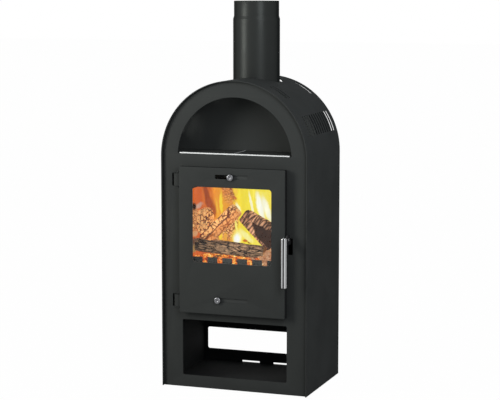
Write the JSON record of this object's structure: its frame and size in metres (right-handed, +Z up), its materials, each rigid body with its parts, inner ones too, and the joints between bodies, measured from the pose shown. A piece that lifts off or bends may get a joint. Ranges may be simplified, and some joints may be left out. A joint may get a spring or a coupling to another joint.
{
  "type": "wood stove",
  "caption": "Tall arch-topped steel wood stove with a glazed hinged door, a lift handle, air sliders, a warming niche above, an open log store below and a top flue pipe.",
  "frame": {"origin": "on the floor, under the middle of the casing's width and depth", "axes": "+X to the right of a person who faces the door, +Y to the back, +Z up"},
  "size_m": [0.5, 0.4134, 1.272],
  "materials": {
    "black_steel": "satin black stove paint",
    "pipe_steel": "satin black",
    "dark_sheet": "matt black sheet",
    "cast_iron": "matt black",
    "bright_steel": "brushed",
    "black_plug": "matt",
    "glass": "clear ceramic glass",
    "seal": "woven fibre",
    "fire_brick": "pressed vermiculite",
    "galvanised": "zinc plated",
    "bark": "charred bark"
  },
  "bodies": {
    "stove": {"outer_shell": "black_steel", "front_plate": "black_steel", "base_plate": "dark_sheet", "log_store_liner": "dark_sheet", "log_store_ceiling": "dark_sheet", "rear_panel": "dark_sheet", "niche_floor": "black_steel", "niche_back_plate": "black_steel", "shelf_plate_left": "black_steel", "shelf_plate_right": "black_steel", "shelf_trim_front": "bright_steel", "shelf_trim_centre": "bright_steel", "firebox_body": "cast_iron", "flue_collar": "cast_iron", "flue_pipe": "pipe_steel", "hearth_plate": "cast_iron", "hearth_bed": "fire_brick", "grate": "cast_iron", "ash_pan": "galvanised", "brick_left": "fire_brick", "brick_right": "fire_brick", "brick_back": "fire_brick", "baffle_plate": "fire_brick", "log_guard": "cast_iron", "latch_keeper": "galvanised", "hinge_pin_upper": "galvanised", "hinge_pin_lower": "galvanised", "hinge_lug_upper_top": "cast_iron", "hinge_lug_upper_bottom": "cast_iron", "hinge_lug_lower_top": "cast_iron", "hinge_lug_lower_bottom": "cast_iron", "log_bottom_left": "bark", "log_bottom_right": "bark", "log_front": "bark", "log_round_end": "bark", "log_leaning_left": "bark", "log_leaning_right": "bark"},
    "door": {"door_panel": "black_steel", "door_frame": "black_steel", "door_glass": "glass", "glass_gasket": "seal", "seal_channel": "dark_sheet", "door_rope_seal": "seal", "glass_clip_top": "galvanised", "glass_clip_right": "galvanised", "glass_clip_bottom": "galvanised", "glass_clip_left": "galvanised", "slider_guide_upper": "dark_sheet", "slider_guide_lower": "dark_sheet", "hinge_arm_upper": "black_steel", "hinge_arm_lower": "black_steel", "latch_bolt": "bright_steel"},
    "latch": {"latch_lever": "cast_iron", "handle_rod": "bright_steel", "handle_plug_top": "black_plug", "handle_plug_bottom": "black_plug"},
    "upper_slider": {"air_slider_upper": "dark_sheet", "air_knob_upper": "bright_steel"},
    "lower_slider": {"air_slider_lower": "dark_sheet", "air_knob_lower": "bright_steel"}
  },
  "joints": [
    {"name": "door_hinge", "type": "hinge", "parent": "stove", "child": "door", "pos_m": [-0.1905, -0.1615, 0.489], "axis": [0, 0, -1], "range_deg": [0, 90]},
    {"name": "latch_turn", "type": "hinge", "parent": "door", "child": "latch", "pos_m": [0.1883, -0.186, 0.512], "axis": [-1, 0, 0], "range_deg": [0, 30]},
    {"name": "upper_air_slide", "type": "slide", "parent": "door", "child": "upper_slider", "axis": [1, 0, 0], "range_m": [-0.044, 0.05]},
    {"name": "lower_air_slide", "type": "slide", "parent": "door", "child": "lower_slider", "axis": [1, 0, 0], "range_m": [0, 0.094]}
  ]
}
